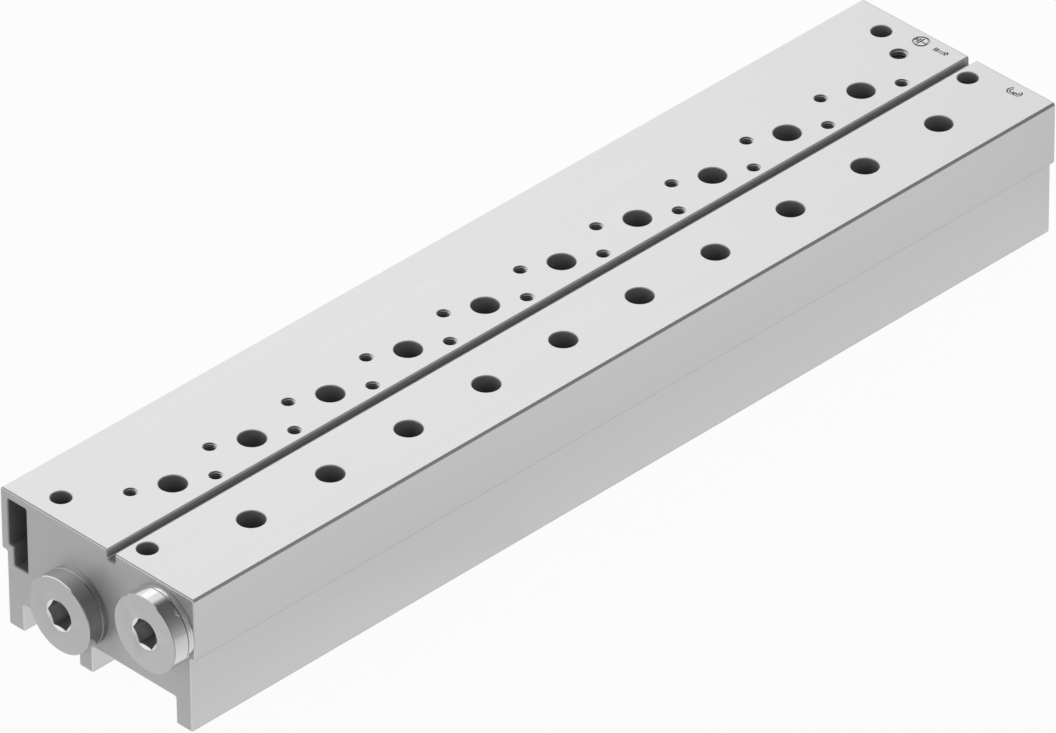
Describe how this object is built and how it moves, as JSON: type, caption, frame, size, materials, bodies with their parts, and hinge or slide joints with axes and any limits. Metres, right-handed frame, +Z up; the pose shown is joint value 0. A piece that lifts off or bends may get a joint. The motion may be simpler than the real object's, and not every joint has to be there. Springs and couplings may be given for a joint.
{
  "type": "pneumatic valve manifold rail",
  "caption": "Extruded metal rail with two lengthwise ducts, a row of valve places on its top face, and a sealed blanking plug in each duct at one end.",
  "frame": {"origin": "on the underside of the middle foot, midway between the four fixing holes and in line with the row of supply ports", "axes": "+X along the rail towards its open duct ends, +Y across it towards the stepped hollow chamber, +Z up out of the valve face"},
  "size_m": [0.2533, 0.056, 0.033],
  "materials": {
    "anodised_aluminium": "brushed along the rail, clear anodised",
    "plated_steel": "turned and bright plated",
    "ring_metal": "turned, satin"
  },
  "bodies": {
    "root": {"manifold_rail": "anodised_aluminium", "supply_plug": "plated_steel", "exhaust_plug": "plated_steel", "supply_sealing_ring": "ring_metal", "exhaust_sealing_ring": "ring_metal"}
  },
  "joints": []
}
